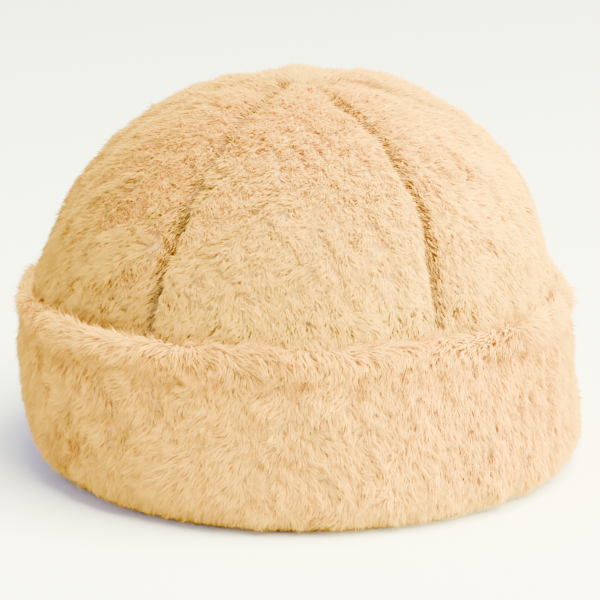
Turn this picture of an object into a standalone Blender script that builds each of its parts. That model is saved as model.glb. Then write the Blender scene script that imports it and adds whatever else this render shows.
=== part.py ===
"""A faux-fur beanie: six crown panels sewn together at the tip, and a wide cuff turned up round them.

Units are metres, +Z is up, and the origin is the middle of the footprint, on the surface that the
hat stands on. The front faces -Y. An azimuth is an angle in plan, from the front towards +X. A reach
is a distance straight out from the edge of the head opening, which is an ellipse.

The pile is one with the backing that carries it. It lies in overlapping locks, each with its root
towards the top and its tip standing proud of the next lock down.
"""

import math
import random
from collections import namedtuple

import bmesh
import bpy

# Head opening, and the heights over the surface that the hat stands on
OPENING_WIDTH = 0.166
OPENING_DEPTH = 0.200
HEIGHT = 0.154
WIDEST_HEIGHT = 0.058
CUFF_HEIGHT = 0.078

# Reach of the pile from the opening's edge
CROWN_REACH = 0.0196
CUFF_REACH = 0.029

# Crown wall: backing and pile together, and the same squeezed inside the cuff
WALL = 0.013
SQUEEZED_WALL = 0.008
CROWN_EDGE_HEIGHT = 0.008
DOME_FULLNESS = 0.91
SQUEEZED_FROM = 0.85

# Crown panels
PANEL_NAMES = (
    "crown_panel_front",
    "crown_panel_front_right",
    "crown_panel_back_right",
    "crown_panel_back",
    "crown_panel_back_left",
    "crown_panel_front_left",
)
HALF_PANEL = math.pi / len(PANEL_NAMES)
PANEL_COLUMNS = 12
INSIDE_COLUMNS = 4
SEAM_GAP = 0.0004
SEAM_DEPTH = 0.005
SEAM_REACH = 0.012
SEAM_REACH_AT_TIP = 0.35
SEAM_FADE = 0.3
TIP_RADIUS = SEAM_GAP / 2 / math.sin(HALF_PANEL)

# Cuff: the roll at its top, the roll at its foot, and the turn-in that the crown's edge stands on
TOP_ROLL_REACH = 0.007
TOP_ROLL_DROP = 0.024
FOOT_ROLL_REACH = 0.015
FOOT_ROLL_RISE = 0.018
ROLL_SHARE = 0.3
CUFF_COLUMNS = 80
CUFF_CLEARANCE = 0.0006
EDGE_GAP = 0.0003
BACK_SEAM_DEPTH = 0.003
BACK_SEAM_REACH = 0.010

# Locks of pile
CROWN_LOCK_ROWS = 9
CROWN_PILE_END = 0.94
CUFF_LOCK_ROWS = 5
CUFF_PILE_START = 0.05
LOCK_DEPTH = 0.0042
VALLEY_RISE = 0.2
FLATTEST_LOCK = 0.65
POINTED_TIP = 0.10
LOCK_DRIFT = 0.3
TIP_FADE = 0.16
LockStep = namedtuple("LockStep", "along rise")
LOCK_STEPS = (LockStep(0.0, 0.0), LockStep(0.42, 0.65), LockStep(0.84, 1.0))

# The hat stands a little askew, each height moved sideways in a slow wave
SWAY = 0.0018
SWAY_HALF_WAVE = 0.065

CROWN_COLOUR = (0.78, 0.58, 0.36)
CUFF_COLOUR = (0.82, 0.63, 0.41)
FUR_ROUGHNESS = 0.9
FUR_SHEEN = 0.5
SHARP_ANGLE = math.radians(55)

STEP = 1e-3
SEED = 6

# Stations of the crown below its locks, and the cuff's turn-in as reach and height
CROWN_HIDDEN_STATIONS = (1.0, 1.35, 1.7, 1.88, 2.0)
SectionPoint = namedtuple("SectionPoint", "reach height")
CUFF_TURN_IN = (
    SectionPoint(0.0035, 0.0),
    SectionPoint(0.0010, 0.0030),
    SectionPoint(0.0020, CROWN_EDGE_HEIGHT - EDGE_GAP),
)
CUFF_INNER_STATIONS = (1.88, 1.7, 1.5, 1.3, 1.1)
CUFF_INNER_TOP = SectionPoint(CROWN_REACH + CUFF_CLEARANCE, 0.0745)


def clear_scene():
    for old in list(bpy.data.objects):
        bpy.data.objects.remove(old, do_unlink=True)


def fur_material(name, colour):
    made = bpy.data.materials.new(name)
    made.use_nodes = True
    shader = made.node_tree.nodes["Principled BSDF"]
    shader.inputs["Base Color"].default_value = (*colour, 1.0)
    shader.inputs["Roughness"].default_value = FUR_ROUGHNESS
    shader.inputs["Metallic"].default_value = 0.0
    shader.inputs["Sheen Weight"].default_value = FUR_SHEEN
    return made


def smooth(share):
    """An S-shaped ramp from 0 to 1."""
    share = min(max(share, 0.0), 1.0)
    return share * share * (3.0 - 2.0 * share)


def ring_radius(reach, azimuth):
    """Distance from the hat's axis of the ellipse at a reach from the opening's edge."""
    half_width = OPENING_WIDTH / 2 + reach
    half_depth = OPENING_DEPTH / 2 + reach
    return half_width * half_depth / math.hypot(
        half_depth * math.sin(azimuth), half_width * math.cos(azimuth)
    )


def place(radius, azimuth, height):
    sway = SWAY * math.cos(math.pi * height / SWAY_HALF_WAVE)
    return radius * math.sin(azimuth) + sway, -radius * math.cos(azimuth), height


def tuck_reach(station):
    """Reach of the crown's face inside the cuff: station 1 is its widest line, 2 its lower edge."""
    return CROWN_REACH + (SQUEEZED_WALL - CROWN_REACH) * smooth((station - 1.0) / SQUEEZED_FROM)


def tuck_height(station):
    return WIDEST_HEIGHT + (CROWN_EDGE_HEIGHT - WIDEST_HEIGHT) * (station - 1.0)


def crown_face(station, azimuth):
    """Radius and height of the crown over its pile: station 0 is the tip, 1 the widest line."""
    if station > 1.0:
        return ring_radius(tuck_reach(station), azimuth), tuck_height(station)
    turn = station * math.pi / 2
    radius = ring_radius(CROWN_REACH, azimuth) * math.sin(turn) ** DOME_FULLNESS
    rise = max(math.cos(turn), 0.0) ** DOME_FULLNESS
    return radius, WIDEST_HEIGHT + (HEIGHT - WIDEST_HEIGHT) * rise


def cuff_face(station, azimuth):
    """Radius and height of the cuff over its pile: station 0 is its top, 1 the edge of its flat foot."""
    if station < ROLL_SHARE:
        turn = station / ROLL_SHARE * math.pi / 2
        reach = CUFF_REACH - TOP_ROLL_REACH * (1.0 - math.sin(turn))
        height = CUFF_HEIGHT - TOP_ROLL_DROP * (1.0 - math.cos(turn))
    elif station < 1.0 - ROLL_SHARE:
        share = (station - ROLL_SHARE) / (1.0 - 2 * ROLL_SHARE)
        reach = CUFF_REACH
        top = CUFF_HEIGHT - TOP_ROLL_DROP
        height = top + (FOOT_ROLL_RISE - top) * share
    else:
        turn = (station - 1.0 + ROLL_SHARE) / ROLL_SHARE * math.pi / 2
        reach = CUFF_REACH - FOOT_ROLL_REACH * (1.0 - math.cos(turn))
        height = FOOT_ROLL_RISE * (1.0 - math.sin(turn))
    return ring_radius(reach, azimuth), height


def sunk(face, station, azimuth, depth):
    """The face's point at a station, moved in by a depth square to the face."""
    radius, height = face(station, azimuth)
    before = face(max(station - STEP, 0.0), azimuth)
    after = face(station + STEP, azimuth)
    run = after[0] - before[0]
    drop = before[1] - after[1]
    length = math.hypot(run, drop)
    return radius - depth * drop / length, height - depth * run / length


def groove(distance, reach, depth):
    """Depth of a seam's groove at a distance from the seam."""
    return depth * (1.0 - smooth(distance / reach))


def lock_rows(count, start, end):
    """Stations of the pile's rows, each with its lock row and its step in the lock."""
    pitch = (end - start) / count
    return [
        (start + pitch * (row + step.along), row, step)
        for row in range(count)
        for step in LOCK_STEPS
    ]


def lock_heights(draws, rows, columns):
    """How proud each column of each lock row stands: crests alternate with valleys, staggered by row."""
    return [
        [
            draws.uniform(FLATTEST_LOCK, 1.0) if (row + column) % 2 else VALLEY_RISE
            for column in range(columns)
        ]
        for row in range(rows)
    ]


def lock_drifts(draws, columns):
    """How far each column of locks lies up or down from its neighbours, as a share of a lock row."""
    return [draws.uniform(-LOCK_DRIFT, LOCK_DRIFT) for column in range(columns)]


def lock_station(station, end, proud, step, drift, pitch):
    """A row's station in one column. A crest runs on past its valleys, so that a lock ends in a point."""
    is_tip = step.rise == 1.0 and proud > VALLEY_RISE
    moved = drift * math.sin(math.pi * station / end)
    return station + pitch * (moved + (POINTED_TIP if is_tip else 0.0))


def skin(mesh, loops, closed):
    """Faces between each loop of points and the next. Points that coincide are one vertex."""
    followers = loops[1:] + loops[:1] if closed else loops[1:]
    for loop, follower in zip(loops, followers):
        for i in range(len(loop)):
            j = (i + 1) % len(loop)
            corners = list(dict.fromkeys((loop[i], loop[j], follower[j], follower[i])))
            if len(corners) > 2:
                mesh.faces.new(corners)


def finish_object(name, mesh, material):
    bmesh.ops.recalc_face_normals(mesh, faces=mesh.faces)
    data = bpy.data.meshes.new(name)
    mesh.to_mesh(data)
    mesh.free()
    data.materials.append(material)
    data.shade_smooth()
    data.set_sharp_from_angle(angle=SHARP_ANGLE)
    made = bpy.data.objects.new(name, data)
    bpy.context.scene.collection.objects.link(made)
    return made


def panel_azimuth(middle, share, radius):
    """Azimuth of a point at a share from -1 to 1 across a panel whose sides are flat seam faces."""
    return middle + share * (HALF_PANEL - math.asin(SEAM_GAP / 2 / radius))


def seam_sink(station, share, radius):
    """Depth of the groove along a panel's two seams, which fades out inside the cuff."""
    reach = min(SEAM_REACH, radius * SEAM_REACH_AT_TIP)
    distance = radius * math.sin(HALF_PANEL * (1.0 - abs(share)))
    fade = 1.0 - smooth((station - 1.0) / SEAM_FADE)
    return groove(distance, max(reach, STEP), SEAM_DEPTH) * fade


def panel_outside(middle, stations, depths):
    """One row of points over the pile, from seam to seam."""
    points = []
    for column, (station, depth) in enumerate(zip(stations, depths)):
        share = 2.0 * column / PANEL_COLUMNS - 1.0
        azimuth = middle + share * HALF_PANEL
        sink = seam_sink(station, share, crown_face(station, azimuth)[0])
        radius, height = sunk(crown_face, station, azimuth, depth + sink)
        radius = max(radius, TIP_RADIUS)
        points.append(place(radius, panel_azimuth(middle, share, radius), height))
    return points


def panel_inside(middle, station):
    """One row of points over the backing, from the far seam back to the first."""
    points = []
    for column in range(INSIDE_COLUMNS, -1, -1):
        share = 2.0 * column / INSIDE_COLUMNS - 1.0
        azimuth = middle + share * HALF_PANEL
        if station > 1.0:
            radius = ring_radius((CROWN_REACH - WALL) * (2.0 - station), azimuth)
            height = tuck_height(station)
        else:
            radius, height = sunk(crown_face, station, azimuth, WALL)
        radius = max(radius, TIP_RADIUS)
        points.append(place(radius, panel_azimuth(middle, share, radius), height))
    return points


def make_panel(name, middle, draws, material):
    """A gore of the crown, from the tip down into the cuff."""
    columns = PANEL_COLUMNS + 1
    heights = lock_heights(draws, CROWN_LOCK_ROWS, columns)
    drifts = lock_drifts(draws, columns)
    pitch = CROWN_PILE_END / CROWN_LOCK_ROWS
    rows = []
    for station, row, step in lock_rows(CROWN_LOCK_ROWS, 0.0, CROWN_PILE_END):
        depth = LOCK_DEPTH * smooth(station / TIP_FADE)
        stations = [
            lock_station(station, CROWN_PILE_END, proud, step, drift, pitch)
            for proud, drift in zip(heights[row], drifts)
        ]
        depths = [depth * (1.0 - proud * step.rise) for proud in heights[row]]
        rows.append(panel_outside(middle, stations, depths) + panel_inside(middle, station))
    for station in CROWN_HIDDEN_STATIONS:
        outside = panel_outside(middle, [station] * columns, [0.0] * columns)
        rows.append(outside + panel_inside(middle, station))
    mesh = bmesh.new()
    vertices = {}
    loops = []
    for row in rows:
        for point in row:
            if point not in vertices:
                vertices[point] = mesh.verts.new(point)
        loops.append([vertices[point] for point in row])
    skin(mesh, loops, closed=False)
    mesh.faces.new(loops[-1])
    return finish_object(name, mesh, material)


def cuff_section(azimuth, heights, drift):
    """The cuff's closed section at an azimuth: over the pile, under the foot and up beside the crown."""
    back_distance = ring_radius(CUFF_REACH, azimuth) * abs(math.pi - azimuth)
    back_sink = groove(back_distance, BACK_SEAM_REACH, BACK_SEAM_DEPTH)
    pitch = (1.0 - CUFF_PILE_START) / CUFF_LOCK_ROWS
    points = [sunk(cuff_face, 0.0, azimuth, 0.0)]
    for station, row, step in lock_rows(CUFF_LOCK_ROWS, CUFF_PILE_START, 1.0):
        proud = heights[row]
        depth = LOCK_DEPTH * (1.0 - proud * step.rise) + back_sink
        moved = lock_station(station, 1.0, proud, step, drift, pitch)
        points.append(sunk(cuff_face, moved, azimuth, depth))
    points.append(cuff_face(1.0, azimuth))
    for turn_in in CUFF_TURN_IN:
        points.append((ring_radius(turn_in.reach, azimuth), turn_in.height))
    corner = ring_radius(SQUEEZED_WALL + CUFF_CLEARANCE, azimuth)
    points.append((corner, CUFF_TURN_IN[-1].height))
    for station in CUFF_INNER_STATIONS:
        reach = tuck_reach(station) + CUFF_CLEARANCE
        points.append((ring_radius(reach, azimuth), tuck_height(station)))
    points.append((ring_radius(CUFF_INNER_TOP.reach, azimuth), CUFF_INNER_TOP.height))
    return [place(radius, azimuth, height) for radius, height in points]


def make_cuff(draws, material):
    """The turned-up band: a closed ring that wraps the crown's lower edge."""
    heights = lock_heights(draws, CUFF_LOCK_ROWS, CUFF_COLUMNS)
    drifts = lock_drifts(draws, CUFF_COLUMNS)
    mesh = bmesh.new()
    loops = []
    for column, drift in enumerate(drifts):
        azimuth = 2.0 * math.pi * column / CUFF_COLUMNS
        section = cuff_section(azimuth, [row[column] for row in heights], drift)
        loops.append([mesh.verts.new(point) for point in section])
    skin(mesh, loops, closed=True)
    return finish_object("cuff", mesh, material)


def main():
    clear_scene()
    crown_fur = fur_material("crown_fur", CROWN_COLOUR)
    cuff_fur = fur_material("cuff_fur", CUFF_COLOUR)
    draws = random.Random(SEED)
    for i, name in enumerate(PANEL_NAMES):
        make_panel(name, 2.0 * HALF_PANEL * i, draws, crown_fur)
    make_cuff(draws, cuff_fur)


if __name__ == "__main__":
    main()
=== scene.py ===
"""A camel faux-fur beanie: a crown of six sewn panels and a wide cuff turned up round it.

Every panel and the cuff is a backing shell, which takes the place of the frame's plain solid, and
a pile of tapered strands that grow out of it. Units are metres and +Z is up. A face of the hat is
given by a station, which runs down over it, and an azimuth, which runs round it from the front
towards +X. A turn is an azimuth from minus to plus half a turn, and below 0 it is on the left.
"""

import math
from collections import namedtuple

import bpy
import numpy as np
from bpy.props import FloatProperty, FloatVectorProperty, IntProperty, PointerProperty
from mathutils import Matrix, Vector, kdtree


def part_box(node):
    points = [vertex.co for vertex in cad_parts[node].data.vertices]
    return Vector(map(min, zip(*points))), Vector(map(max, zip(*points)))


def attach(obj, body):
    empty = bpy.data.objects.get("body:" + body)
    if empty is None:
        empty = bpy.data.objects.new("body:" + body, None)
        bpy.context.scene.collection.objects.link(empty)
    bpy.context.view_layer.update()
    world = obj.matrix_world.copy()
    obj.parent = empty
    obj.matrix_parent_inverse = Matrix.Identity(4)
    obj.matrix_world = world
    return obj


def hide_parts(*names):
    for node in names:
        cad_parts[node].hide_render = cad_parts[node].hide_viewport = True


bl_info = {
    "name": "Fur Beanie",
    "version": (1, 0, 0),
    "blender": (4, 5, 0),
    "location": "View3D > Sidebar > Beanie",
    "description": "Builds a panelled faux-fur beanie with a turned-up cuff, strand by strand",
    "category": "Add Mesh",
}

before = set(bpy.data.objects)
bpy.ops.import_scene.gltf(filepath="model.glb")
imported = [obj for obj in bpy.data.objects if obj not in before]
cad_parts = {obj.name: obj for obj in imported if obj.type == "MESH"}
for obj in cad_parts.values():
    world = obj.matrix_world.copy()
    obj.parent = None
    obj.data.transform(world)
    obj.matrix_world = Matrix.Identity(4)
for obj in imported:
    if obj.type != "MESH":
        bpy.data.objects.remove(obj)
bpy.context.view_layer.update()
CUFF_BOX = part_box("cuff")

PANEL_NODES = (
    "crown_panel_front",
    "crown_panel_front_right",
    "crown_panel_back_right",
    "crown_panel_back",
    "crown_panel_back_left",
    "crown_panel_front_left",
)
CUFF_SECTORS = ("front", "right", "back", "left")
HALF_PANEL = math.pi / len(PANEL_NODES)
HALF_SECTOR = math.pi / len(CUFF_SECTORS)

# A small step that finds a face's slopes, and a tiny length that keeps divisions from zero
STEP = 1e-3
TINY = 1e-6

# The hat's form, as the frame has it
WIDEST_HEIGHT = 0.058
DOME_FULLNESS = 0.91
SQUEEZED_FROM = 0.85
WALL = 0.013
SQUEEZED_WALL = 0.008
CROWN_EDGE_HEIGHT = 0.008
TOP_ROLL_REACH = 0.007
TOP_ROLL_DROP = 0.024
FOOT_ROLL_REACH = 0.015
FOOT_ROLL_RISE = 0.018
ROLL_SHARE = 0.3
SWAY = 0.0018
SWAY_HALF_WAVE = 0.065

# In what follows, a pair named STARTS or ENDS is where a ramp begins, as a station or an angle,
# and how far it takes. A pair named AT is the centre and the reach of a hump over turns.

# The cuff's face runs on past its roll: inwards to the crown at the top, and under its flat foot
INNER_ROLL_STATION = -0.12
INNER_ROLL_REACH = 0.0018
INNER_ROLL_DROP = 0.009
FOOT_STATION = 1.22
FOOT_INNER_REACH = 0.0035

# The cuff's pile: its rim stands up, its fold, its shoulder and its foot are sunk, most of all at
# the sides and at the left of the foot, and the floor presses the rest thin
CUFF_PILE_START = -0.05
RIM_TO = 0.26
RIM_LIFT = 0.0028
SIDE_RIM_LIFT = 0.0004
FOLD_STARTS = (CUFF_PILE_START, 0.13)
FOLD_SINK = 0.0008
SHOULDER_STARTS = (-0.12, 0.12)
SHOULDER_ENDS = (0.15, 0.2)
SHOULDER_SINK = 0.0006
SIDE_SHOULDER_SINK = 0.0032
FOOT_STARTS = (0.55, 0.25)
FOOT_SINK = -0.0010
LEFT_FOOT_SINK = 0.0034
PRESSED_STARTS = (0.92, 0.1)
PRESSED_PILE = 0.0014

# The cuff's turn-in, as reaches and heights: over the foot, under the crown's edge and up inside
# the cuff to these shares of the crown's tuck, always a little clear of the crown
EDGE_CLEARANCE = 0.0003
TUCK_CLEARANCE = 0.0006
TURN_IN = (
    (0.0010, 0.0035),
    (0.0020, CROWN_EDGE_HEIGHT - EDGE_CLEARANCE),
    (SQUEEZED_WALL + TUCK_CLEARANCE, CROWN_EDGE_HEIGHT - EDGE_CLEARANCE),
)
TURN_IN_TUCKS = (0.88, 0.7, 0.5, 0.3, 0.1)
TOP_CLEARANCE = 0.0008
TURN_IN_TOP = 0.0625

# Seams. They fade within a radius of the tip, and from a station down to the widest line. The
# partings are shallower where a panel faces away (-1 is behind and 1 in front). Within a share of
# a parting's reach, down to a station, its ground is painted in shade
SEAM_VALLEY_DEPTH = 0.0018
SEAM_VALLEY_REACH = 0.012
SEAM_PARTING_DEPTH = 0.0046
SEAM_PARTING_REACH = 0.0042
SEAM_REACH_AT_TIP = 0.35
PARTING_BEHIND = 0.6
FACING_STARTS = (-0.2, 0.6)
SEAM_FADES_TO_TIP = 0.038
SEAM_FADES_FROM = 0.74
SEAM_ALLOWANCE_RIDGE = 0.0014
SEAM_ALLOWANCE_REACH = 0.003
PARTED_SHARE = 0.85
PARTING_SEEN_TO = 0.9

# The crown sinks a little at the foot of each front seam: station, azimuth. Painted shade darkens
# the strands by the seams from a station down
SEAM_FEET = ((0.90, math.radians(-35)), (0.88, math.radians(32)))
SEAM_FOOT_DEPTH = 0.0032
SEAM_FOOT_REACH = 0.014
SEAM_FOOT_STARTS = (0.68, 0.16)

# Crown roots run from the tip to where the cuff hides them, and stand up a little beside it
CROWN_PILE = (0.01, 0.95)
ABOVE_CUFF_STARTS = (0.78, 0.14)
ABOVE_CUFF_AT = (0.1, 0.5)
ABOVE_CUFF_LIFT = 0.0032
LIFT_BESIDE = 0.3

# How far over the strands' inner and outer halves lie, in degrees, and how pale they are
RISE_ANGLE = 26.0
REST_ANGLE = 57.0
PALENESS = 0.84

# The crown's strands lie over a little more, but stand up round the tip
CROWN_REST_ANGLE = REST_ANGLE + 4.0
TIP_TO = 0.07
UPRIGHT_AT_TIP = 35.0

# They stray from their lie, by radians, and less beside a seam, where they turn away from it.
# The lie itself builds up from the tip down to a station
CROWN_STRAY = 0.42
CALMER_BY_SEAM = 0.6
LIE_TO = 0.5
SEAM_LAY = 0.25

# How much a strand's colours and length follow a seam, as a share of the seam's own reach, and
# how much shorter it is there and how much painted shade darkens it, along the seam, in its
# parting and at its foot
STRAND_REACH = 0.7
SHORTER_IN_PARTING = 0.25
SEAM_SHADE = 0.15
PARTING_SHADE = 0.65
SEAM_FOOT_SHADE = 0.3
TOP_PALER = 0.1
TOP_PALER_TO = 0.45

# All seams but the left front one are softer: less painted shade, and their strands turn less
# away from them
SOFT_RIGHT_STARTS = (-0.5, 1.0)
SOFT_LEFT_STARTS = (0.8, 0.4)
SOFTER_SHADE = 0.35
SOFTER_LAY = 0.15

# A whorl beside the left front seam, where the strands turn away from one place: station, azimuth
WHORL = (0.69, math.radians(-34.5))
WHORL_REACH = 0.013
WHORL_EYE = 0.004
WHORL_PULL = 0.45
UPRIGHT_IN_EYE = 15.0
# Painted shade in the whorl's eye, where the strands part
EYE_SHADE = 0.3

# High on the left front panel the pile lies this many radians from straight down it, towards the
# front, so that it hangs upright in the picture
LEFT_LAY = 0.8
LEFT_LAY_AT = (-0.8, 0.3)
LEFT_LAY_ENDS = (0.5, 0.25)

# A crease of painted shade low on that panel, just above the cuff
CREASE_STARTS = (0.83, 0.1)
CREASE_AT = (-0.7, 0.35)
CREASE_SHADE = 0.25

# The camera sees the right seam along the crown's top. The pile behind it stands a little higher
# round one station (its centre and reach are DOWN), and its edge by the seam is darkened with
# painted shade, the shadow of the pile in front
TOP_SEAM = math.radians(90)
TOP_SEAM_SPREAD = 0.04
TOP_SEAM_REACH = 0.013
TOP_SEAM_SHADE = 0.75
TOP_SEAM_ENDS = (0.25, 0.25)
TOP_LIFT = 0.002
TOP_LIFT_DOWN = (0.17, 0.1)
TOP_LIFT_AT = (math.radians(126), 0.5)

# The rim's strands are longer and lie flat along the fold, swept one way or the other
FLATTER_AT_RIM = 28.0
REST_SHARE_AT_RIM = 0.6
LONGER_AT_RIM = 0.1
RIM_SWEEP = 1.7
CUFF_STRAY = 0.32

# At the cuff's right front the strands hang straight down as the camera sees them, so they lie
# back by this much for each radian round from the front. Streaks of painted highlight run down
# through them, as on locks that catch the light, with painted shade between
STRAIGHT_STARTS = (0.15, 0.3)
STRAIGHT_ENDS = (1.4, 0.4)
STRAIGHT_LAY = 0.75
CALMER_IF_STRAIGHT = 0.7
STREAK_STRETCH = (1.0, 1.0, 0.12)
STREAKS_OVER = 0.2
STREAK_HIGHLIGHT = 0.5
STREAK_GAP_SHADE = 0.12

# Low on the cuff's left front they slant
SLANTED_AT = (-0.42, 0.22)
SLANTED_STARTS = (0.3, 0.3)
SLANT_LAY = 0.75
SLANT_CALM = 0.35

# The ground: the dense foot of the pile stands over its roots, and its shell stays inside the
# wall. It ends under the cuff, and is full height in the cuff's fold
GROUND_SHARE = 0.56
GROUND_ENDS = (0.9, 0.3)
CUFF_GROUND_SHARE = 0.7
FULL_IN_FOLD_TO = 0.2
THINNEST_SHELL = 0.0015

# Grids of the shells. A panel's rows run from just off the tip, the last of them down its tuck,
# and its columns go over its outside and back over its inside
PANEL_ROWS = 64
TUCK_ROWS = 12
PANEL_COLUMNS = 25
INSIDE_COLUMNS = 13
FIRST_STATION = 0.004
TUCK_STATION = 1.05
CUFF_COLUMNS = 160
CUFF_ROWS = 44

# How strands differ: shares of length and width, degrees of rise and rest, radians of roll, and
# shares of tone. Each bends at a share of its length, and its tip is drawn to that of its tuft
LENGTHS = (0.78, 1.12)
WIDTHS = (0.75, 1.25)
RISE_SPREAD = 10
REST_SPREAD = 13
ROLL_SPREAD = 0.5
STRAND_TONE_SPREAD = 0.05
TUFT_TONE_SPREAD = 0.04
BEND_AT = 0.45
TUFT_PULL = (0.15, 0.45)
MIDDLE_PULL = 0.3
TUFT_SCATTER = 0.0003

# How far the strands' shading follows the face that they grow from, as fine fibres' does
CROWN_SOFTNESS = 0.9
CUFF_SOFTNESS = 0.12

# Strands that the floor presses flat lie just over it, one over another
LOWEST_PILE = 0.0003
PRESSED_DEPTH = 0.0014

# A strand's colours are read from its UV map, tone across and root to tip up, inside this range
UV_ROOM = (0.02, 0.98)
UV_STRAND_WIDTH = 0.004
UV_AT_BEND = 0.55

# Share of light that passes through the strands, and of their colours that stays in the painted
# shade of the ground's mottle and between the backing's loops
THROUGH_SHARE = 0.48
PAINTED_GROUND_SHADE = 0.8
PAINTED_KNIT_SHADE = 0.72

# Patterns, from real sizes: a mottle of painted shade under tufts about 3 mm across, and loops
# 1.4 mm apart. Bands of the wave texture are 0.314 of its unit apart, so this unit puts the rows
# 1.4 mm apart too
MOTTLES_A_METRE = 320.0
LOOP_SPACING = 0.0014
ROW_UNIT = 0.0044

# Uneven things are sums of smooth fields: how strong each is, how long its waves are, and its seed
Field = namedtuple("Field", "size length seed")
PILE_HEIGHTS = (Field(0.0006, 0.010, 11), Field(0.0005, 0.03, 12))
PARTING_DEPTHS = (Field(0.2, 0.035, 17),)
CROWN_TONES = (Field(0.04, 0.022, 21), Field(0.04, 0.006, 22))
CUFF_TONES = (Field(0.09, 0.022, 23), Field(0.1, 0.006, 24))
STREAKS = (Field(1.0, 0.007, 25),)
CROWN_LAYS = (Field(0.45, 0.022, 31), Field(0.4, 0.008, 32))
CUFF_LAYS = (Field(0.6, 0.026, 41), Field(0.55, 0.009, 42))
RIM_SWEEPS = (Field(4.0, 0.05, 43),)
RIM_LAYS = (Field(0.4, 0.012, 44),)
CROWN_SEED = 100
CUFF_SEED = 200

# Lie: points of a face, with the directions down it, round it and out of it.
# Growth: where strands are rooted, which way they lie, how long they are, how far their inner and
# outer halves lie over from upright, how pale they are, and how soft their shading is.
Lie = namedtuple("Lie", "here down side out")
Growth = namedtuple("Growth", "root along length rise rest tone softness")


def to_linear(hex_colour):
    """An sRGB hex colour as linear numbers."""
    shares = [int(hex_colour[i : i + 2], 16) / 255 for i in (1, 3, 5)]
    return tuple(s / 12.92 if s <= 0.04045 else ((s + 0.055) / 1.055) ** 2.4 for s in shares)


class BeanieShape(bpy.types.PropertyGroup):
    opening_width: FloatProperty(
        name="Opening width",
        description="Width of the head opening",
        default=0.166,
        min=0.1,
        unit="LENGTH",
    )
    opening_depth: FloatProperty(
        name="Opening depth",
        description="Front to back size of the head opening",
        default=0.200,
        min=0.1,
        unit="LENGTH",
    )
    height: FloatProperty(
        name="Height",
        description="Height of the tip over the surface that the hat stands on",
        default=0.154,
        min=0.08,
        unit="LENGTH",
    )
    crown_reach: FloatProperty(
        name="Crown reach",
        description="How far the crown's pile stands out from the edge of the opening",
        default=0.0196,
        unit="LENGTH",
    )
    cuff_reach: FloatProperty(
        name="Cuff reach",
        description="How far the cuff's pile stands out from the edge of the opening",
        default=0.029,
        unit="LENGTH",
    )
    cuff_height: FloatProperty(
        name="Cuff height",
        description="Height of the turned-up cuff",
        default=CUFF_BOX[1][2],
        unit="LENGTH",
    )


class BeaniePile(bpy.types.PropertyGroup):
    strand_length: FloatProperty(
        name="Strand length",
        description="Length of a strand of the pile from its backing",
        default=0.0076,
        unit="LENGTH",
    )
    strand_width: FloatProperty(
        name="Strand width",
        description="Width of a strand at its root, a few fibres drawn as one so that it shows",
        default=0.0006,
        unit="LENGTH",
    )
    crown_share: FloatProperty(
        name="Crown share",
        description="Length of a strand on the crown as a share of one on the cuff",
        default=0.85,
        subtype="FACTOR",
    )
    crown_pile_height: FloatProperty(
        name="Crown pile height",
        description="Depth of the crown pile's roots under its tips",
        default=0.0037,
        unit="LENGTH",
    )
    cuff_pile_height: FloatProperty(
        name="Cuff pile height",
        description="Depth of the cuff pile's roots under its tips",
        default=0.0060,
        unit="LENGTH",
    )
    panel_strands: IntProperty(
        name="Strands in a panel",
        description="Strands in the pile of one crown panel",
        default=26500,
        subtype="UNSIGNED",
    )
    sector_strands: IntProperty(
        name="Strands in a cuff sector",
        description="Strands in the pile of a quarter of the cuff",
        default=38500,
        subtype="UNSIGNED",
    )
    tuft_strands: IntProperty(
        name="Strands in a tuft",
        description="Strands whose tips draw together into one tuft",
        default=14,
        subtype="UNSIGNED",
    )


class BeanieColours(bpy.types.PropertyGroup):
    # Painted shade of the gaps between the tufts, at the dark-toned strands' roots and on the
    # ground
    root: FloatVectorProperty(
        name="Root",
        description="Pile colour down in the gaps between the tufts",
        default=to_linear("#BE9A5A"),
        subtype="COLOR",
    )
    # Painted shade: the tips of strands darkened by the seams and creases, and the pale strands'
    # roots
    shade: FloatVectorProperty(
        name="Shade",
        description="Colour of the darkest tips",
        default=to_linear("#B08C54"),
        subtype="COLOR",
    )
    tip: FloatVectorProperty(
        name="Tip",
        description="Colour of the palest tips",
        default=to_linear("#EEBF16"),
        subtype="COLOR",
    )
    # Painted shade in the seams' partings, on their ground and in the light through the darkest
    # strands
    parting: FloatVectorProperty(
        name="Parting",
        description="Colour of the foot of the pile along the seams, where the tufts part",
        default=to_linear("#74502A"),
        subtype="COLOR",
    )
    glow: FloatVectorProperty(
        name="Glow",
        description="Colour that light takes on as it passes through the fine tips",
        default=to_linear("#E6BE34"),
        subtype="COLOR",
    )
    backing: FloatVectorProperty(
        name="Backing",
        description="Colour of the knitted backing inside the hat",
        default=to_linear("#E2BE8A"),
        subtype="COLOR",
    )
    floor: FloatVectorProperty(
        name="Floor",
        description="Colour of the floor",
        default=to_linear("#DDE5FF"),
        subtype="COLOR",
    )


def smooth(share):
    """An S-shaped ramp from 0 to 1."""
    share = np.clip(share, 0.0, 1.0)
    return share * share * (3.0 - 2.0 * share)


def ramp(value, start, over):
    """An S-shaped ramp from 0 at its start to 1 at its end, which is so far over."""
    return smooth((value - start) / over)


def hump(value, centre, reach):
    """A bump that is 1 at its centre."""
    return np.exp(-(((value - centre) / reach) ** 2))


def mix(first, second, share):
    return first + (second - first) * share


def unit(vectors):
    """The same directions, one long each."""
    return vectors / np.linalg.norm(vectors, axis=-1, keepdims=True)


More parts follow.
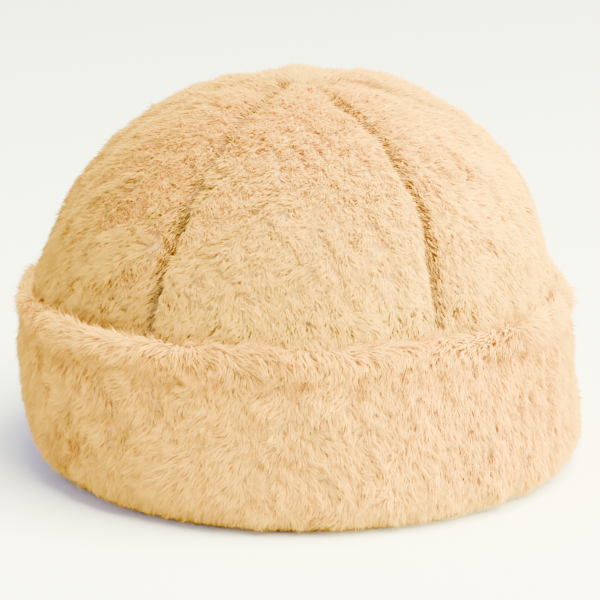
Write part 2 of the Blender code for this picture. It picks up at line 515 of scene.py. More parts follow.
class Hat:
    """The hat's faces as functions of station and azimuth, both arrays."""

    def __init__(self, shape):
        self.half_width = shape.opening_width / 2
        self.half_depth = shape.opening_depth / 2
        self.height = shape.height
        self.crown_reach = shape.crown_reach
        self.cuff_reach = shape.cuff_reach
        self.cuff_height = shape.cuff_height

    def ring_radius(self, reach, azimuth):
        """Radius at an azimuth of the opening's oval, widened by a reach."""
        wide, deep = self.half_width + reach, self.half_depth + reach
        return wide * deep / np.hypot(deep * np.sin(azimuth), wide * np.cos(azimuth))

    def place(self, radius, azimuth, height):
        """Points from radius, azimuth and height, with the hat's slight sway from side to side."""
        sway = SWAY * np.cos(np.pi * height / SWAY_HALF_WAVE)
        return np.stack([radius * np.sin(azimuth) + sway, -radius * np.cos(azimuth), height], -1)

    def crown(self, station, azimuth):
        """Radius and height over the crown's pile, from the tip at station 0 over the widest line
        at 1 to the edge at 2."""
        down = np.clip(station, 0.0, 1.0) * np.pi / 2
        dome = np.sin(down) ** DOME_FULLNESS
        rise = np.maximum(np.cos(down), 0.0) ** DOME_FULLNESS
        tuck = np.maximum(station - 1.0, 0.0)
        squeeze = smooth(tuck / SQUEEZED_FROM)
        reach = mix(self.crown_reach, SQUEEZED_WALL, squeeze)
        height = WIDEST_HEIGHT + (self.height - WIDEST_HEIGHT) * rise
        height = np.where(tuck > 0, mix(WIDEST_HEIGHT, CROWN_EDGE_HEIGHT, tuck), height)
        return self.ring_radius(reach, azimuth) * dome, height

    def cuff(self, station, azimuth):
        """Radius and height over the cuff's pile, from its top at station 0 to the edge of its
        flat foot at 1."""
        top = self.cuff_height - TOP_ROLL_DROP
        down = np.clip(station / ROLL_SHARE, 0.0, 1.0) * np.pi / 2
        wall = np.clip((station - ROLL_SHARE) / (1.0 - 2 * ROLL_SHARE), 0.0, 1.0)
        under = np.clip((station - 1.0 + ROLL_SHARE) / ROLL_SHARE, 0.0, 1.0) * np.pi / 2
        inner = np.clip(station / INNER_ROLL_STATION, 0.0, 1.0)
        sole = np.clip((station - 1.0) / (FOOT_STATION - 1.0), 0.0, 1.0)
        reach = self.cuff_reach - TOP_ROLL_REACH * (1.0 - np.sin(down))
        reach = reach - INNER_ROLL_REACH * np.sin(inner * np.pi / 2)
        reach = reach - FOOT_ROLL_REACH * (1.0 - np.cos(under))
        foot_reach = self.cuff_reach - FOOT_ROLL_REACH
        reach = np.where(station > 1.0, mix(foot_reach, FOOT_INNER_REACH, sole), reach)
        height = self.cuff_height - TOP_ROLL_DROP * (1.0 - np.cos(down))
        height = height - INNER_ROLL_DROP * (1.0 - np.cos(inner * np.pi / 2))
        height = height - (top - FOOT_ROLL_RISE) * wall - FOOT_ROLL_RISE * np.sin(under)
        return self.ring_radius(reach, azimuth), np.maximum(height, 0.0)

    def point(self, face, station, azimuth):
        radius, height = face(station, azimuth)
        return self.place(radius, azimuth, height)

    def lie_of(self, face, station, azimuth):
        """The lie of a face's points, and the area that each stands for."""
        here = self.point(face, station, azimuth)
        down = self.point(face, station + STEP, azimuth) - self.point(face, station - STEP, azimuth)
        side = self.point(face, station, azimuth + STEP) - self.point(face, station, azimuth - STEP)
        across = np.cross(down, side)
        area = np.linalg.norm(across, axis=-1)
        return Lie(here, unit(down), unit(side), across / area[..., None]), area


def waves(points, length, seed, count=14):
    """A smooth field from -1 to 1 or so, whose features are about length long."""
    rng = np.random.default_rng(seed)
    ways = unit(rng.normal(size=(count, 3))) * (2 * np.pi / length)
    ways = ways * rng.uniform(0.7, 1.4, (count, 1))
    phases = rng.uniform(0, 2 * np.pi, count)
    return np.sin(points @ ways.T + phases).sum(-1) / math.sqrt(count)


def add_fields(values, points, fields):
    for field in fields:
        values = values + field.size * waves(points, field.length, field.seed)
    return values


def seam_sink(hat, here, station, distance, radius):
    """How deep the face is sunk at a distance from a seam, and at the seams' feet."""
    room = radius * SEAM_REACH_AT_TIP + TINY
    sink = SEAM_VALLEY_DEPTH * (1.0 - smooth(distance / np.minimum(SEAM_VALLEY_REACH, room)))
    parting = 1.0 - smooth(distance / np.minimum(SEAM_PARTING_REACH, room))
    facing = -here[..., 1] / (np.hypot(here[..., 0], here[..., 1]) + TINY)
    parting = parting * mix(PARTING_BEHIND, 1.0, ramp(facing, *FACING_STARTS))
    sink = sink + SEAM_PARTING_DEPTH * add_fields(1.0, here, PARTING_DEPTHS) * parting
    sink = sink * smooth(radius / SEAM_FADES_TO_TIP)
    sink = sink * (1.0 - ramp(station, SEAM_FADES_FROM, 1.0 - SEAM_FADES_FROM))
    for foot in SEAM_FEET:
        away = np.linalg.norm(here - hat.point(hat.crown, *map(np.array, foot)), axis=-1)
        sink = sink + SEAM_FOOT_DEPTH * hump(away, 0.0, SEAM_FOOT_REACH)
    return sink


def make_object(
    name, points, faces, loops_per_face, material_slots, face_slots=None, uv=None, normals=None
):
    """A mesh object from arrays. The faces are one flat list of corners, with their counts."""
    mesh = bpy.data.meshes.new(name)
    mesh.vertices.add(len(points))
    mesh.vertices.foreach_set("co", np.ascontiguousarray(points, np.float32).ravel())
    mesh.loops.add(len(faces))
    mesh.loops.foreach_set("vertex_index", np.ascontiguousarray(faces, np.int32))
    mesh.polygons.add(len(loops_per_face))
    starts = np.concatenate([[0], np.cumsum(loops_per_face)[:-1]])
    mesh.polygons.foreach_set("loop_start", starts.astype(np.int32))
    if face_slots is not None:
        mesh.polygons.foreach_set("material_index", np.ascontiguousarray(face_slots, np.int32))
    if uv is not None:
        layer = mesh.uv_layers.new(name="OFBake")
        layer.uv.foreach_set("vector", np.ascontiguousarray(uv[faces], np.float32).ravel())
    mesh.update(calc_edges=True)
    mesh.shade_smooth()
    if normals is not None:
        mesh.normals_split_custom_set_from_vertices(normals)
    for material in material_slots:
        mesh.materials.append(material)
    made = bpy.data.objects.new(name, mesh)
    bpy.context.scene.collection.objects.link(made)
    return made


def add_node(tree, kind, settings=None, **links):
    """Adds a node, sets its properties and sockets, and links other nodes' outputs to its inputs.
    A link's key is an underscore and the input's number, or the input's name."""
    made = tree.nodes.new(kind)
    for key, value in (settings or {}).items():
        if hasattr(made, key):
            setattr(made, key, value)
        else:
            made.inputs[key].default_value = value
    for key, source in links.items():
        socket = int(key[1:]) if key[1:].isdigit() else key.replace("_", " ")
        tree.links.new(source, made.inputs[socket])
    return made


def new_material(name):
    made = bpy.data.materials.new(name)
    made.use_nodes = True
    made.node_tree.nodes.clear()
    return made, made.node_tree


def set_ramp(node, stops):
    elements = node.color_ramp.elements
    while len(elements) < len(stops):
        elements.new(0.5)
    for element, (place, colour) in zip(elements, stops):
        element.position = place
        element.color = (*colour, 1.0)


def acrylic_pile(colours):
    """Acrylic and polyester faux-fur fibres, crimped and brushed: matt and soft, with light that
    passes through them, so that the shadows between them stay warm. Painted shade makes them paler
    towards the tips and darker down to the roots, and darker yet where their tone is low."""
    made, tree = new_material("acrylic_plush_pile")
    place = add_node(tree, "ShaderNodeUVMap", {"uv_map": "OFBake"})
    parts = add_node(tree, "ShaderNodeSeparateXYZ", None, _0=place.outputs[0])
    dark = add_node(tree, "ShaderNodeValToRGB", None, _0=parts.outputs[1])
    pale = add_node(tree, "ShaderNodeValToRGB", None, _0=parts.outputs[1])
    root, shade, tip = colours.root[:], colours.shade[:], colours.tip[:]
    # Painted shade down into the pile: each strand darkens from its tip to its root
    set_ramp(dark, ((0.0, root), (0.55, shade), (1.0, shade)))
    set_ramp(pale, ((0.0, shade), (0.5, tip), (1.0, tip)))
    tone = add_node(
        tree,
        "ShaderNodeMix",
        {"data_type": "RGBA"},
        _0=parts.outputs[0],
        _6=dark.outputs[0],
        _7=pale.outputs[0],
    )
    body = add_node(
        tree,
        "ShaderNodeBsdfPrincipled",
        {"Roughness": 0.75, "Specular IOR Level": 0.12},
        Base_Color=tone.outputs[2],
    )
    # Light through the low-toned strands in the seams takes the parting's painted shade
    through = add_node(tree, "ShaderNodeValToRGB", None, _0=parts.outputs[0])
    set_ramp(through, ((0.0, colours.parting[:]), (0.5, colours.glow[:]), (1.0, colours.glow[:])))
    glow = add_node(tree, "ShaderNodeBsdfTranslucent", None, Color=through.outputs[0])
    both = add_node(
        tree, "ShaderNodeMixShader", {"Fac": THROUGH_SHARE}, _1=body.outputs[0], _2=glow.outputs[0]
    )
    add_node(tree, "ShaderNodeOutputMaterial", None, Surface=both.outputs[0])
    return made


def pile_ground(name, palest):
    """The dense foot of brushed acrylic pile, between the tufts or down in a seam's parting: matt,
    bumped, and in painted shade, mottled darker under the tufts and darker than the tips, which
    gives the fur its depth."""
    made, tree = new_material(name)
    place = add_node(tree, "ShaderNodeTexCoord")
    mottle = add_node(
        tree,
        "ShaderNodeTexNoise",
        {"Scale": MOTTLES_A_METRE, "Detail": 3.0},
        Vector=place.outputs["Object"],
    )
    shades = add_node(tree, "ShaderNodeValToRGB", None, _0=mottle.outputs[0])
    set_ramp(shades, ((0.3, tuple(PAINTED_GROUND_SHADE * c for c in palest)), (0.75, palest[:])))
    bump = add_node(
        tree, "ShaderNodeBump", {"Strength": 0.6, "Distance": 0.001}, Height=mottle.outputs[0]
    )
    body = add_node(
        tree,
        "ShaderNodeBsdfPrincipled",
        {"Roughness": 0.95, "Specular IOR Level": 0.1},
        Base_Color=shades.outputs[0],
        Normal=bump.outputs[0],
    )
    add_node(tree, "ShaderNodeOutputMaterial", None, Surface=body.outputs[0])
    return made


def knitted_backing(colours):
    """Polyester jersey, circular-knitted: matt, with rows of small loops, bumped so that they catch
    the light, and painted shade between them. The loops are 1.4 mm apart, as in the loose knit that
    carries a deep pile."""
    made, tree = new_material("knitted_polyester_backing")
    place = add_node(tree, "ShaderNodeTexCoord")
    rows = add_node(
        tree,
        "ShaderNodeTexWave",
        {"wave_type": "BANDS", "bands_direction": "Z", "Scale": 1 / ROW_UNIT, "Distortion": 1.2},
        Vector=place.outputs["Object"],
    )
    loops = add_node(
        tree, "ShaderNodeTexVoronoi", {"Scale": 1 / LOOP_SPACING}, Vector=place.outputs["Object"]
    )
    knit = add_node(
        tree,
        "ShaderNodeMath",
        {"operation": "MULTIPLY"},
        _0=rows.outputs["Fac"],
        _1=loops.outputs["Distance"],
    )
    shades = add_node(tree, "ShaderNodeValToRGB", None, _0=knit.outputs[0])
    knit_shade_colour = tuple(PAINTED_KNIT_SHADE * c for c in colours.backing)
    set_ramp(shades, ((0.0, knit_shade_colour), (0.6, colours.backing[:])))
    bump = add_node(
        tree, "ShaderNodeBump", {"Strength": 0.5, "Distance": 0.0006}, Height=knit.outputs[0]
    )
    body = add_node(
        tree,
        "ShaderNodeBsdfPrincipled",
        {"Roughness": 0.88, "Specular IOR Level": 0.2},
        Base_Color=shades.outputs[0],
        Normal=bump.outputs[0],
    )
    add_node(tree, "ShaderNodeOutputMaterial", None, Surface=body.outputs[0])
    return made


def pile_height_at(points, height):
    """Height of the laid pile over its backing, uneven as the locks are."""
    return add_fields(height, points, PILE_HEIGHTS)


def draw_roots(hat, face, stations, azimuths, count, rng):
    """Random places on a face, evenly by area."""
    found = []
    have = 0
    while have < count:
        station = rng.uniform(*stations, 2 * count)
        azimuth = rng.uniform(*azimuths, 2 * count)
        area = hat.lie_of(face, station, azimuth)[1]
        kept = rng.uniform(0, 1, 2 * count) < area / area.max()
        found.append(np.stack([station[kept], azimuth[kept]], -1))
        have += int(kept.sum())
    return np.concatenate(found)[:count].T


def comb(lie, lay):
    """Directions along a face at an angle from straight down it."""
    return lie.down * np.cos(lay)[:, None] + lie.side * np.sin(lay)[:, None]


def lean(lie, along, angle):
    """Directions that lean over from straight out of a face."""
    angle = np.radians(angle)[:, None]
    return lie.out * np.cos(angle) + along * np.sin(angle)


def grow_pile(name, lie, growth, pile, rng, material):
    """An object of tapered strands, each bent over in the middle and drawn towards its tuft."""
    count = len(lie.here)
    root = growth.root
    length = growth.length * rng.uniform(*LENGTHS, count)
    first = lean(lie, growth.along, growth.rise + rng.normal(0, RISE_SPREAD, count))
    second = lean(lie, growth.along, growth.rest + rng.normal(0, REST_SPREAD, count))
    middle = root + first * (BEND_AT * length)[:, None]
    tip = middle + second * ((1.0 - BEND_AT) * length)[:, None]
    leader = tuft_leaders(root, pile.tuft_strands)
    pull = rng.uniform(*TUFT_PULL, count)[:, None]
    tip = mix(tip, tip[leader] + rng.normal(0, TUFT_SCATTER, (count, 3)), pull)
    middle = mix(middle, middle[leader], MIDDLE_PULL * pull)
    roll = rng.normal(0, ROLL_SPREAD, count)[:, None]
    blade = unit(unit(np.cross(tip - root, lie.out)) * np.cos(roll) + lie.out * np.sin(roll))
    half = 0.5 * pile.strand_width * rng.uniform(*WIDTHS, count)[:, None] * blade
    # A quad from the root to the bend, and a triangle on from there to the tip
    corners = np.stack([root - half, root + half, middle + half, middle - half, tip], 1)
    corner_count = corners.shape[1]
    pressed = LOWEST_PILE + PRESSED_DEPTH * rng.uniform(0, 1, count)
    corners[..., 2] = np.maximum(corners[..., 2], pressed[:, None])
    base = corner_count * np.arange(count)[:, None]
    faces = (base + np.array([0, 1, 2, 3, 3, 2, 4])).ravel()
    per_face = np.tile([4, 3], count)
    tone = growth.tone + STRAND_TONE_SPREAD * rng.normal(size=count)
    tone = tone + TUFT_TONE_SPREAD * rng.normal(size=count)[leader]
    tone = np.clip(tone, *UV_ROOM)
    up = np.array([UV_ROOM[0], UV_ROOM[0], UV_AT_BEND, UV_AT_BEND, UV_ROOM[1]])
    across = np.array([-0.5, 0.5, 0.5, -0.5, 0.0]) * UV_STRAND_WIDTH
    uv = np.stack([(tone[:, None] + across).ravel(), np.tile(up, count)], -1)
    facing = unit(np.cross(blade, tip - root))
    normals = np.repeat(unit(mix(facing, lie.out, growth.softness)), corner_count, 0)
    return make_object(
        name, corners.reshape(-1, 3), faces, per_face, [material], uv=uv, normals=normals
    )


def tuft_leaders(roots, tuft_strands):
    """For each root, the nearest of the strands that the others gather round."""
    leaders = np.arange(0, len(roots), tuft_strands)
    tree = kdtree.KDTree(len(leaders))
    for i in leaders:
        tree.insert(roots[i], int(i))
    tree.balance()
    return np.array([tree.find(root)[1] for root in roots])


def grid_faces(rows, columns, wrap_rows, wrap_columns):
    """Corners of the quads of a grid of points, row by row."""
    r = np.arange(rows if wrap_rows else rows - 1)
    c = np.arange(columns if wrap_columns else columns - 1)
    r, c = (x.ravel() for x in np.meshgrid(r, c, indexing="ij"))
    down, over = (r + 1) % rows, (c + 1) % columns
    corners = (r * columns + c, r * columns + over, down * columns + over, down * columns + c)
    return np.stack(corners, -1)


def panel_grid(hat, middle, stations, ends, columns):
    """A grid over one panel, closest beside its seams: its stations and azimuths, its lie, its
    radius and how far it is from a seam."""
    share = np.linspace(*ends, columns)[None, :]
    share = share * (1.5 - 0.5 * share**2)
    station = np.repeat(stations[:, None], columns, 1)
    azimuth = middle + share * HALF_PANEL + 0 * station
    lie = hat.lie_of(hat.crown, station, azimuth)[0]
    radius = hat.crown(station, azimuth)[0]
    distance = radius * np.sin(HALF_PANEL * (1.0 - np.abs(share)))
    return station, azimuth, lie, radius, distance


def panel_shell(name, hat, middle, pile, ground, backing, parting):
    """A gore of backing with the foot of its pile: a closed wall, smooth inside and out."""
    stations = np.concatenate(
        [
            np.linspace(FIRST_STATION, 1.0, PANEL_ROWS - TUCK_ROWS),
            np.linspace(TUCK_STATION, 2.0, TUCK_ROWS),
        ]
    )
    station, _, lie, radius, distance = panel_grid(
        hat, middle, stations, (-1.0, 1.0), PANEL_COLUMNS
    )
    depth = GROUND_SHARE * pile_height_at(lie.here, pile.crown_pile_height)
    depth = depth * (1.0 - ramp(station, *GROUND_ENDS))
    depth = depth + seam_sink(hat, lie.here, station, distance, radius)
    outer = lie.here - lie.out * np.minimum(depth, WALL - THINNEST_SHELL)[..., None]
    # The ground in a seam's parting, down to a station, takes the parting's painted shade
    parted = (distance < PARTED_SHARE * SEAM_PARTING_REACH) & (station < PARTING_SEEN_TO)
    station, azimuth, lie, _, distance = panel_grid(
        hat, middle, stations, (1.0, -1.0), INSIDE_COLUMNS
    )
    ridge = SEAM_ALLOWANCE_RIDGE * (1.0 - smooth(distance / SEAM_ALLOWANCE_REACH))
    inner = lie.here - lie.out * (WALL + ridge)[..., None]
    squeezed = hat.ring_radius((hat.crown_reach - WALL) * (2.0 - station), azimuth)
    height = mix(WIDEST_HEIGHT, CROWN_EDGE_HEIGHT, station - 1.0)
    in_tuck = (station > 1.0)[..., None]
    inner = np.where(in_tuck, hat.place(squeezed, azimuth, height), inner)
    points = np.concatenate([outer, inner], 1)
    loop = PANEL_COLUMNS + INSIDE_COLUMNS
    quads = grid_faces(PANEL_ROWS, loop, False, True)
    is_inside = (quads[:, :2] % loop >= PANEL_COLUMNS).all(1)
    parted = np.concatenate([parted, np.zeros((PANEL_ROWS, INSIDE_COLUMNS), bool)], 1).ravel()
    is_parted = parted[quads].sum(1) >= 2
    caps = [np.arange(loop)[::-1], (PANEL_ROWS - 1) * loop + np.arange(loop)]
    faces = np.concatenate([quads.ravel(), *caps])
    per_face = [4] * len(quads) + [loop, loop]
    slots = np.concatenate([np.where(is_inside, 1, np.where(is_parted, 2, 0)), [0, 1]])
    materials = [ground, backing, parting]
    return make_object(name, points.reshape(-1, 3), faces, per_face, materials, slots)


def turn_from_front(azimuth):
    """An azimuth as an angle from the front, from minus to plus half a turn."""
    return (azimuth + math.pi) % (2 * math.pi) - math.pi


def panel_pile(name, hat, middle, pile, rng, material):
    """The pile of one crown panel, sunk and parted at its seams."""
    span = (middle - HALF_PANEL, middle + HALF_PANEL)
    station, azimuth = draw_roots(hat, hat.crown, CROWN_PILE, span, pile.panel_strands, rng)
    lie = hat.lie_of(hat.crown, station, azimuth)[0]
    here = lie.here
    radius = hat.crown(station, azimuth)[0]
    across = azimuth - middle
    turn = turn_from_front(azimuth)
    distance = radius * np.sin(HALF_PANEL - np.abs(across))
    near_seam = 1.0 - smooth(distance / (STRAND_REACH * SEAM_VALLEY_REACH))
    parting = 1.0 - smooth(distance / (STRAND_REACH * SEAM_PARTING_REACH))
    softer = ramp(turn, *SOFT_RIGHT_STARTS) + ramp(-turn, *SOFT_LEFT_STARTS)

    lift = ABOVE_CUFF_LIFT * mix(LIFT_BESIDE, 1.0, hump(turn, *ABOVE_CUFF_AT))
    depth = pile_height_at(here, pile.crown_pile_height) - lift * ramp(station, *ABOVE_CUFF_STARTS)
    depth += seam_sink(hat, here, station, distance, radius)
    depth -= TOP_LIFT * hump(station, *TOP_LIFT_DOWN) * hump(turn, *TOP_LIFT_AT)

    left_side = hump(turn, *LEFT_LAY_AT) * (1.0 - ramp(station, *LEFT_LAY_ENDS))
    lay = add_fields(0.0, here, CROWN_LAYS) + LEFT_LAY * left_side
    seam_lay = (SOFTER_LAY * softer - SEAM_LAY) * np.sign(across)
    lay = mix(lay * smooth(station / LIE_TO), seam_lay, near_seam)
    stray = CROWN_STRAY * (1.0 - CALMER_BY_SEAM * near_seam)
    along = comb(lie, lay + stray * rng.normal(0, 1, len(here)))
    away = here - hat.point(hat.crown, *map(np.array, WHORL))
    from_centre = np.linalg.norm(away, axis=-1)
    whorl = WHORL_PULL * hump(from_centre, 0.0, WHORL_REACH)
    along = mix(along, unit(away), whorl[:, None])

    eye = hump(from_centre, 0.0, WHORL_EYE)
    at_tip = 1.0 - smooth(station / TIP_TO)
    length = pile.crown_share * pile.strand_length * (1.0 - SHORTER_IN_PARTING * parting)
    rise = np.full(len(here), RISE_ANGLE)
    rest = CROWN_REST_ANGLE - UPRIGHT_IN_EYE * eye - UPRIGHT_AT_TIP * at_tip

    # Painted shade: the tone darkens in a crease above the cuff, by the seams and their feet, in
    # the partings, in the whorl's eye and beside the top seam
    painted_crease = ramp(station, *CREASE_STARTS) * hump(turn, *CREASE_AT)
    seam_foot = near_seam * ramp(station, *SEAM_FOOT_STARTS)
    behind = ramp(turn, TOP_SEAM, TOP_SEAM_SPREAD) * (1.0 - ramp(turn, TOP_SEAM, HALF_PANEL))
    top_shade = behind * (1.0 - smooth(distance / TOP_SEAM_REACH))
    top_shade = top_shade * (1.0 - ramp(station, *TOP_SEAM_ENDS))
    tone = add_fields(PALENESS, here, CROWN_TONES)
    tone += TOP_PALER * (1.0 - smooth(station / TOP_PALER_TO))
    tone -= SEAM_SHADE * near_seam + (PARTING_SHADE - SOFTER_SHADE * softer) * parting
    tone -= CREASE_SHADE * painted_crease + SEAM_FOOT_SHADE * seam_foot
    tone -= EYE_SHADE * eye + TOP_SEAM_SHADE * top_shade

    root = here - lie.out * depth[:, None]
    growth = Growth(root, unit(along), length, rise, rest, tone, CROWN_SOFTNESS)
    return grow_pile(name, lie, growth, pile, rng, material)


def cuff_depth(here, station, azimuth, pile):
    """How deep the cuff's roots are under its face."""
    depth = pile_height_at(here, pile.cuff_pile_height)
    rim = 1.0 - smooth(station / RIM_TO)
    fold = ramp(station, *FOLD_STARTS)
    shoulder = ramp(station, *SHOULDER_STARTS) * (1.0 - ramp(station, *SHOULDER_ENDS))
    left = 0.5 - 0.5 * np.sin(azimuth)
    beside = np.sin(azimuth) ** 2
    depth = depth + mix(SHOULDER_SINK, SIDE_SHOULDER_SINK, beside) * shoulder
    depth = depth - mix(RIM_LIFT, SIDE_RIM_LIFT, beside) * rim * fold + FOLD_SINK * (1.0 - fold)
    depth = depth + (FOOT_SINK + LEFT_FOOT_SINK * left) * ramp(station, *FOOT_STARTS)
    return mix(depth, PRESSED_PILE, ramp(station, *PRESSED_STARTS))


def cuff_sink(out, station):
    """The way from the cuff's roots to its face: straight up in its fold, and out of it below."""
    in_fold = (1.0 - smooth(station / ROLL_SHARE))[..., None]
    return unit(mix(out, np.array((0.0, 0.0, 1.0)), in_fold))


def cuff_shell(name, hat, pile, ground, backing):
    """The turned-up band as one closed ring, with its turn-in under the crown's edge."""
    azimuth = np.linspace(0.0, 2 * np.pi, CUFF_COLUMNS, endpoint=False)[:, None]
    station = np.repeat(np.linspace(0.0, FOOT_STATION, CUFF_ROWS)[None, :], CUFF_COLUMNS, 0)
    azimuths = azimuth + 0 * station
    lie = hat.lie_of(hat.cuff, station, azimuths)[0]
    share = mix(1.0, CUFF_GROUND_SHARE, smooth(station / FULL_IN_FOLD_TO))
    depth = share * cuff_depth(lie.here, station, azimuths, pile)
    outer = lie.here - cuff_sink(lie.out, station) * depth[..., None]
    turn_in = list(TURN_IN)
    for tuck in TURN_IN_TUCKS:
        reach = mix(hat.crown_reach, SQUEEZED_WALL, smooth(tuck / SQUEEZED_FROM)) + TUCK_CLEARANCE
        turn_in.append((reach, mix(WIDEST_HEIGHT, CROWN_EDGE_HEIGHT, tuck)))
    turn_in.append((hat.crown_reach + TOP_CLEARANCE, TURN_IN_TOP))
    inner = [hat.place(hat.ring_radius(r, azimuth), azimuth, z + 0 * azimuth) for r, z in turn_in]
    points = np.concatenate([outer, *inner], 1)
    loop = points.shape[1]
    quads = grid_faces(CUFF_COLUMNS, loop, True, True)
    slots = (quads[:, :2] % loop >= CUFF_ROWS).all(1).astype(int)
    return make_object(
        name, points.reshape(-1, 3), quads.ravel(), [4] * len(quads), [ground, backing], slots
    )


def cuff_pile(name, hat, middle, pile, rng, material):
    """The pile of one sector of the cuff, from inside its fold to under its foot."""
    span = (middle - HALF_SECTOR, middle + HALF_SECTOR)
    stations = (CUFF_PILE_START, FOOT_STATION)
    station, azimuth = draw_roots(hat, hat.cuff, stations, span, pile.sector_strands, rng)
    lie = hat.lie_of(hat.cuff, station, azimuth)[0]
    here = lie.here
    turn = turn_from_front(azimuth)
    rim = 1.0 - smooth(station / RIM_TO)
    straight = ramp(turn, *STRAIGHT_STARTS) * (1.0 - ramp(turn, *STRAIGHT_ENDS))
    slanted = hump(turn, *SLANTED_AT) * ramp(station, *SLANTED_STARTS)

    lay = add_fields(0.0, here, CUFF_LAYS)
    lay = lay * (1.0 - CALMER_IF_STRAIGHT * straight) - STRAIGHT_LAY * turn * straight
    lay = mix(lay, SLANT_CALM * lay - SLANT_LAY, slanted)
    swept = RIM_SWEEP * np.tanh(add_fields(0.0, here, RIM_SWEEPS))
    lay = mix(lay, add_fields(swept, here, RIM_LAYS), rim)
    along = comb(lie, lay + rng.normal(0, CUFF_STRAY, len(here)))
    length = pile.strand_length * (1.0 + LONGER_AT_RIM * rim)
    rise = RISE_ANGLE + FLATTER_AT_RIM * rim
    rest = REST_ANGLE + REST_SHARE_AT_RIM * FLATTER_AT_RIM * rim

    # Painted highlight in streaks, and painted shade between them
    streaks = add_fields(0.0, here * STREAK_STRETCH, STREAKS)
    streaks = STREAK_HIGHLIGHT * np.maximum(streaks - STREAKS_OVER, 0.0) - STREAK_GAP_SHADE
    tone = add_fields(PALENESS, here, CUFF_TONES) + straight * streaks

    depth = cuff_depth(here, station, azimuth, pile)
    root = here - cuff_sink(lie.out, station) * depth[:, None]
    growth = Growth(root, along, length, rise, rest, tone, CUFF_SOFTNESS)
    return grow_pile(name, lie, growth, pile, rng, material)


class BEANIE_OT_crown(bpy.types.Operator):
    """Builds the six crown panels: each a backing shell and its pile"""

    bl_idname = "beanie.crown"
    bl_label = "Crown panels"

    def execute(self, context):
        scene = context.scene
        hat, pile = Hat(scene.beanie_shape), scene.beanie_pile
        strands = acrylic_pile(scene.beanie_colours)
        # The ground and the partings are painted in shade
        ground = pile_ground("acrylic_pile_ground_painted_shade", scene.beanie_colours.root)
        parting = pile_ground("acrylic_pile_parting_painted_shade", scene.beanie_colours.parting)
        backing = knitted_backing(scene.beanie_colours)
        for i, node in enumerate(PANEL_NODES):
            middle = 2 * HALF_PANEL * i
            shell = panel_shell(node + "_backing", hat, middle, pile, ground, backing, parting)
            rng = np.random.default_rng(CROWN_SEED + i)
            fur = panel_pile(node + "_pile", hat, middle, pile, rng, strands)
            for piece in (shell, fur):
                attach(piece, "root")
                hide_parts(node)
        return {"FINISHED"}


class BEANIE_OT_cuff(bpy.types.Operator):
    """Builds the turned-up cuff: a ring of backing and its pile in four sectors"""

    bl_idname = "beanie.cuff"
    bl_label = "Cuff"

    def execute(self, context):
        scene = context.scene
        hat, pile = Hat(scene.beanie_shape), scene.beanie_pile
        materials = bpy.data.materials
        strands, ground = materials["acrylic_plush_pile"], materials["acrylic_pile_ground_painted_shade"]
        backing = materials["knitted_polyester_backing"]
        pieces = [cuff_shell("cuff_backing", hat, pile, ground, backing)]
        for i, sector in enumerate(CUFF_SECTORS):
            middle = 2 * HALF_SECTOR * i
            rng = np.random.default_rng(CUFF_SEED + i)
            pieces.append(cuff_pile("cuff_pile_" + sector, hat, middle, pile, rng, strands))
        for piece in pieces:
            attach(piece, "root")
            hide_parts("cuff")
        return {"FINISHED"}


# The floor and the light: a wide warm lamp at the upper right front, a small low one that
# brightens the right side, and a bluish sky that keeps the floor near white under them
FLOOR_REACH = 3.0
DAYLIGHT = (0.94, 0.97, 1.25, 1.0)
DAYLIGHT_STRENGTH = 1.5
Lamp = namedtuple("Lamp", "name place target size watts colour")
LAMPS = (
    Lamp("key", (0.8, -0.65, 1.9), (0, 0, 0.07), 2.0, 690.0, (1.0, 0.925, 0.38)),
    Lamp("rim", (1.5, -0.1, 0.09), (0, 0, 0.04), 0.6, 250.0, (1.0, 0.98, 0.36)),
)

# The camera's place: the photograph looks a little down at the front
VIEW_ELEVATION = math.radians(13.5)
VIEW_DISTANCE = 2.0
VIEW_TARGET = (0.0006, 0.0, 0.0635)
FOCAL_LENGTH_MM = 300.5
SENSOR_MM = 36.0


def add_lamp(lamp):
    """Adds a square area light that points at its target."""
    data = bpy.data.lights.new(lamp.name, "AREA")
    data.shape = "SQUARE"
    data.size = lamp.size
    data.energy = lamp.watts
    data.color = lamp.colour
    made = bpy.data.objects.new(lamp.name, data)
    made.location = lamp.place
    aim = Vector(lamp.target) - Vector(lamp.place)
    made.rotation_euler = aim.to_track_quat("-Z", "Y").to_euler()
    bpy.context.scene.collection.objects.link(made)


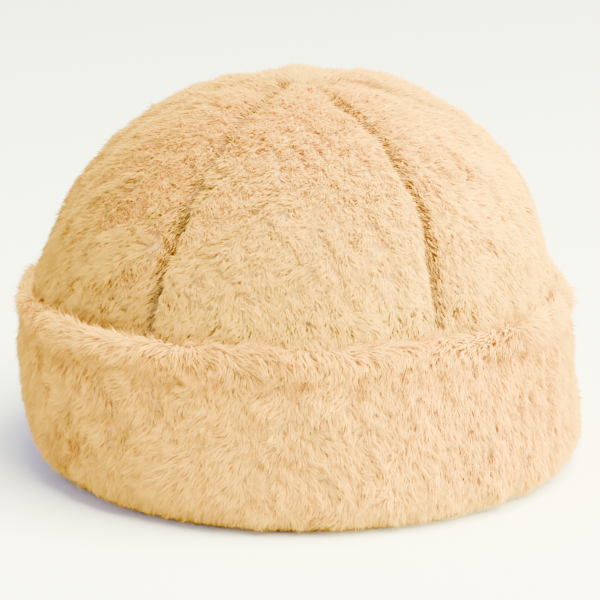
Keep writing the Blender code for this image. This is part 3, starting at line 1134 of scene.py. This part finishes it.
class BEANIE_OT_stage(bpy.types.Operator):
    """Adds the pale floor, the soft studio light and the camera"""

    bl_idname = "beanie.stage"
    bl_label = "Stage"

    def execute(self, context):
        scene = context.scene
        # Paper sweep, uncoated: matt and even, so that it gives no reflection of the hat
        made, tree = new_material("matt_paper_floor")
        body = add_node(
            tree,
            "ShaderNodeBsdfPrincipled",
            {"Base Color": (*scene.beanie_colours.floor, 1.0), "Roughness": 0.9},
        )
        add_node(tree, "ShaderNodeOutputMaterial", None, Surface=body.outputs[0])
        corners = np.array([(-1, -1, 0), (1, -1, 0), (1, 1, 0), (-1, 1, 0)]) * FLOOR_REACH
        floor = make_object("floor", corners, np.arange(4), [4], [made])
        world = bpy.data.worlds.new("studio")
        world.use_nodes = True
        background = world.node_tree.nodes["Background"].inputs
        background["Color"].default_value = DAYLIGHT
        background["Strength"].default_value = DAYLIGHT_STRENGTH
        scene.world = world
        for lamp in LAMPS:
            add_lamp(lamp)
        camera = bpy.data.objects.new("camera", bpy.data.cameras.new("camera"))
        camera.data.lens = FOCAL_LENGTH_MM
        camera.data.sensor_width = SENSOR_MM
        back = VIEW_DISTANCE * math.cos(VIEW_ELEVATION)
        up = VIEW_DISTANCE * math.sin(VIEW_ELEVATION)
        camera.location = Vector(VIEW_TARGET) + Vector((0, -back, up))
        camera.rotation_euler = (math.pi / 2 - VIEW_ELEVATION, 0, 0)
        scene.collection.objects.link(camera)
        scene.camera = camera
        return {"FINISHED"}


class VIEW3D_PT_beanie(bpy.types.Panel):
    bl_label = "Beanie"
    bl_space_type = "VIEW_3D"
    bl_region_type = "UI"
    bl_category = "Beanie"

    def draw(self, context):
        for group in ("beanie_shape", "beanie_pile", "beanie_colours"):
            owner = getattr(context.scene, group)
            # Blender's own two properties come first
            for name in owner.bl_rna.properties.keys()[2:]:
                self.layout.prop(owner, name)
        for operator in OPERATORS:
            self.layout.operator(operator.bl_idname)


OPERATORS = (BEANIE_OT_stage, BEANIE_OT_crown, BEANIE_OT_cuff)
GROUPS = (BeanieShape, BeaniePile, BeanieColours)


def register():
    for made in (*GROUPS, *OPERATORS, VIEW3D_PT_beanie):
        bpy.utils.register_class(made)
    bpy.types.Scene.beanie_shape = PointerProperty(type=BeanieShape)
    bpy.types.Scene.beanie_pile = PointerProperty(type=BeaniePile)
    bpy.types.Scene.beanie_colours = PointerProperty(type=BeanieColours)


def unregister():
    for name in ("beanie_shape", "beanie_pile", "beanie_colours"):
        delattr(bpy.types.Scene, name)
    for made in reversed((*GROUPS, *OPERATORS, VIEW3D_PT_beanie)):
        bpy.utils.unregister_class(made)


def main():
    register()
    bpy.ops.beanie.stage()
    bpy.ops.beanie.crown()
    bpy.ops.beanie.cuff()


if __name__ == "__main__":
    main()
